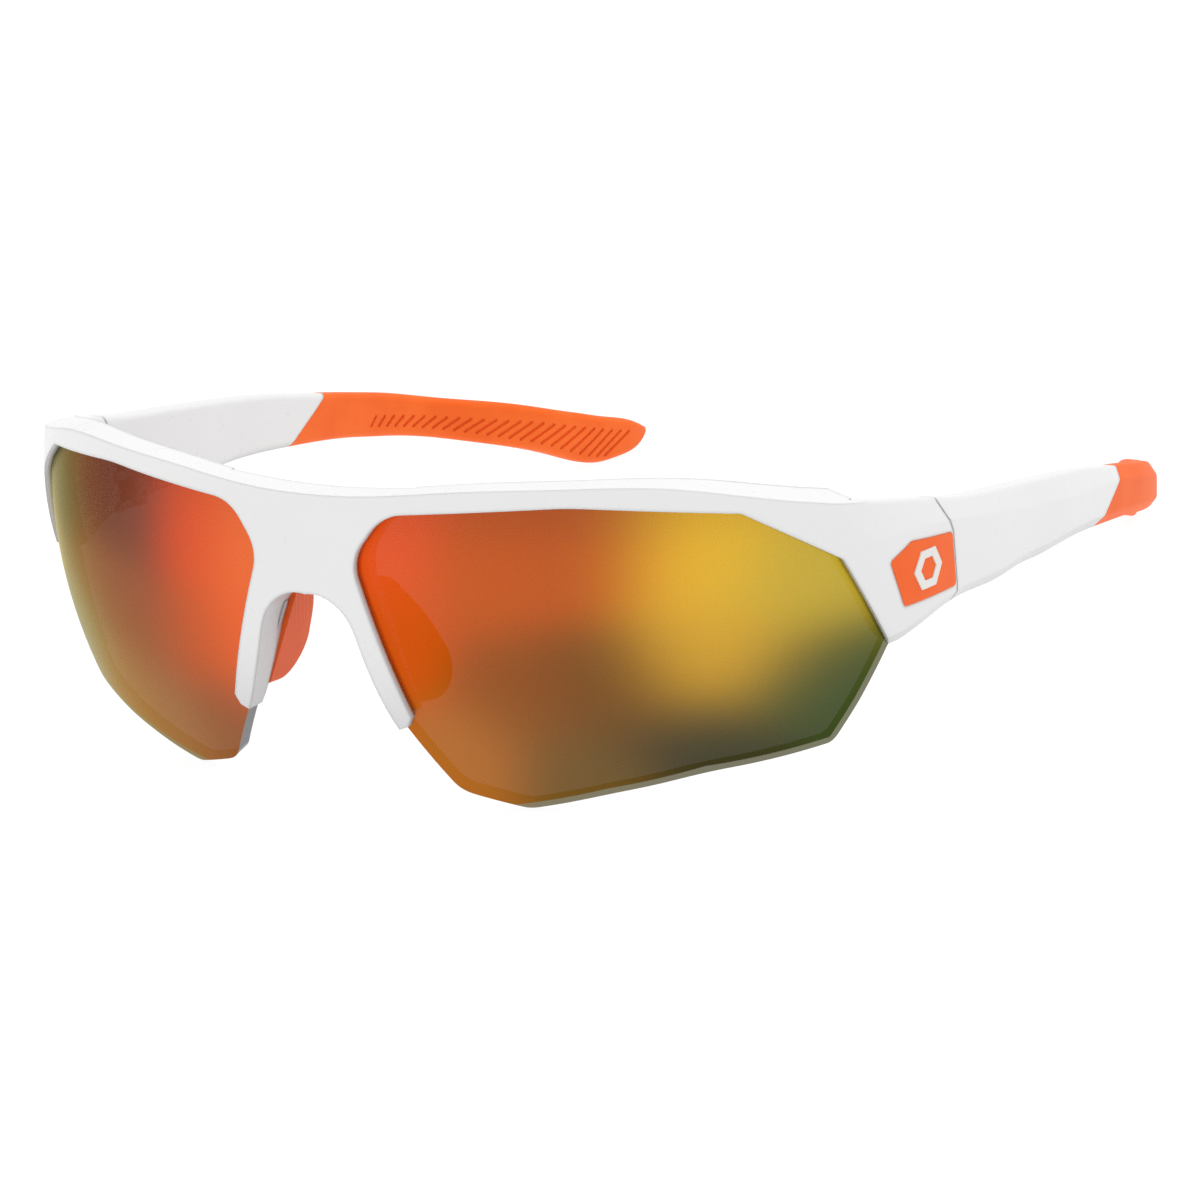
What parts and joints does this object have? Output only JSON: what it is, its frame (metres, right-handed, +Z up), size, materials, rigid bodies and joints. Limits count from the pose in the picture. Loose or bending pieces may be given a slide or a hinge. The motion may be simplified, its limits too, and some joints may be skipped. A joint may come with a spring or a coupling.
{
  "type": "wraparound sport sunglasses",
  "caption": "Half-rim wraparound sport sunglasses with mirrored orange lenses, a white frame, hinged temples and orange rubber sleeves.",
  "frame": {"origin": "on the table, under the middle of the unfolded glasses' footprint", "axes": "+X to the wearer's left, -Y the way the wearer looks, +Y along the temples to their tips, +Z up"},
  "size_m": [0.1326, 0.168, 0.0416],
  "materials": {
    "frame_white": "satin gloss white nylon",
    "lens_mirror": "polycarbonate with a red, orange and gold mirror coating",
    "rubber_orange": "soft-touch orange rubber",
    "badge_orange": "smooth orange plastic",
    "emblem_white": "smooth white plastic",
    "hinge_steel": "brushed stainless steel",
    "screw_steel": "turned stainless steel",
    "washer_nylon": "natural nylon"
  },
  "bodies": {
    "front": {"front_frame": "frame_white", "left_lens": "lens_mirror", "right_lens": "lens_mirror", "left_nose_pad": "rubber_orange", "right_nose_pad": "rubber_orange", "left_badge": "badge_orange", "right_badge": "badge_orange", "left_badge_emblem": "emblem_white", "right_badge_emblem": "emblem_white", "left_front_hinge": "hinge_steel", "right_front_hinge": "hinge_steel", "left_hinge_screw": "screw_steel", "right_hinge_screw": "screw_steel", "left_hinge_washers": "washer_nylon", "right_hinge_washers": "washer_nylon"},
    "left_temple": {"left_temple": "frame_white", "left_temple_sleeve": "rubber_orange", "left_temple_hinge": "hinge_steel"},
    "right_temple": {"right_temple": "frame_white", "right_temple_sleeve": "rubber_orange", "right_temple_hinge": "hinge_steel"}
  },
  "joints": [
    {"name": "left_temple_fold", "type": "hinge", "parent": "front", "child": "left_temple", "pos_m": [0.0608, -0.03338, 0.0227], "axis": [0, 0, 1], "range_deg": [0, 85]},
    {"name": "right_temple_fold", "type": "hinge", "parent": "front", "child": "right_temple", "pos_m": [-0.0608, -0.03338, 0.0227], "axis": [0, 0, -1], "range_deg": [0, 76]}
  ]
}
